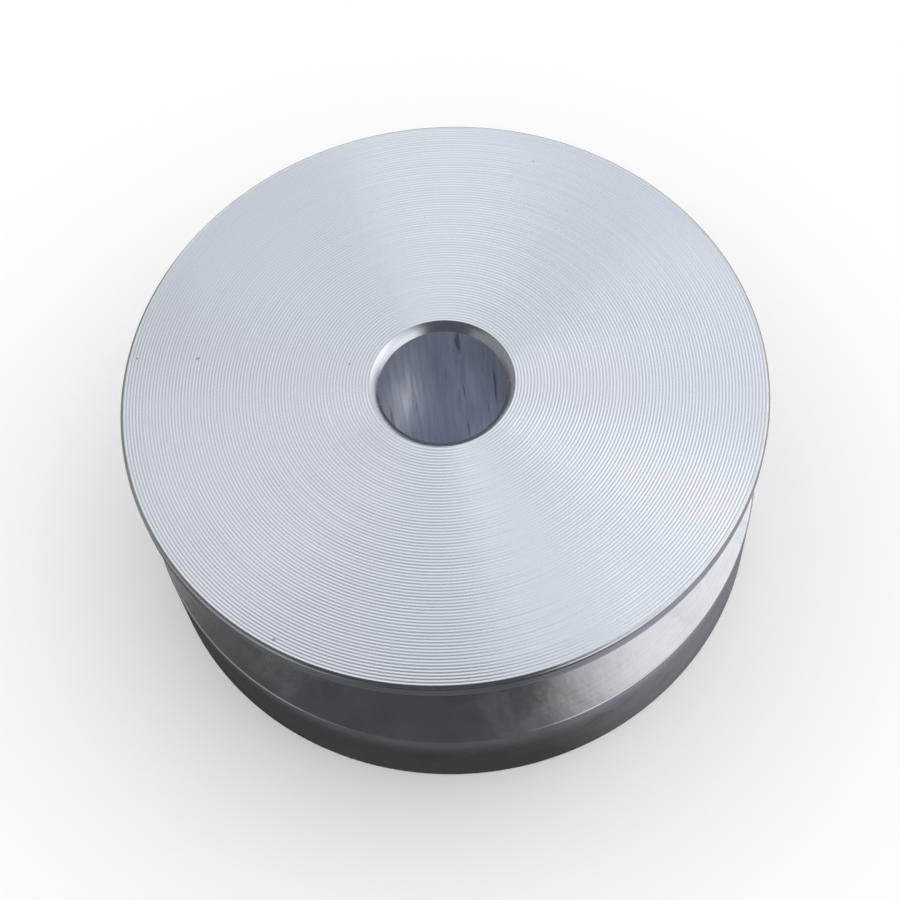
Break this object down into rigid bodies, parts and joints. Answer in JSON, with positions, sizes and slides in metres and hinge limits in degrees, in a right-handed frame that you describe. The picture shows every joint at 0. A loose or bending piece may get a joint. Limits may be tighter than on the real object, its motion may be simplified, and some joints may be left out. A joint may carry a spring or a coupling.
{
  "type": "v-groove pulley",
  "caption": "Turned aluminium pulley with a V groove between a thin and a thick rim, a plain through bore and ring-marked faces.",
  "frame": {"origin": "middle of the lower face, on the bore's axis", "axes": "+Z along the bore's axis, from the thick lower rim towards the thin upper rim; X and Y are free, because the part is round"},
  "size_m": [0.05, 0.05, 0.0195],
  "materials": {
    "turned_aluminium": "bright as turned, with fine facing rings on the flat faces and a smoother rim"
  },
  "bodies": {
    "root": {"pulley": "turned_aluminium"}
  },
  "joints": []
}
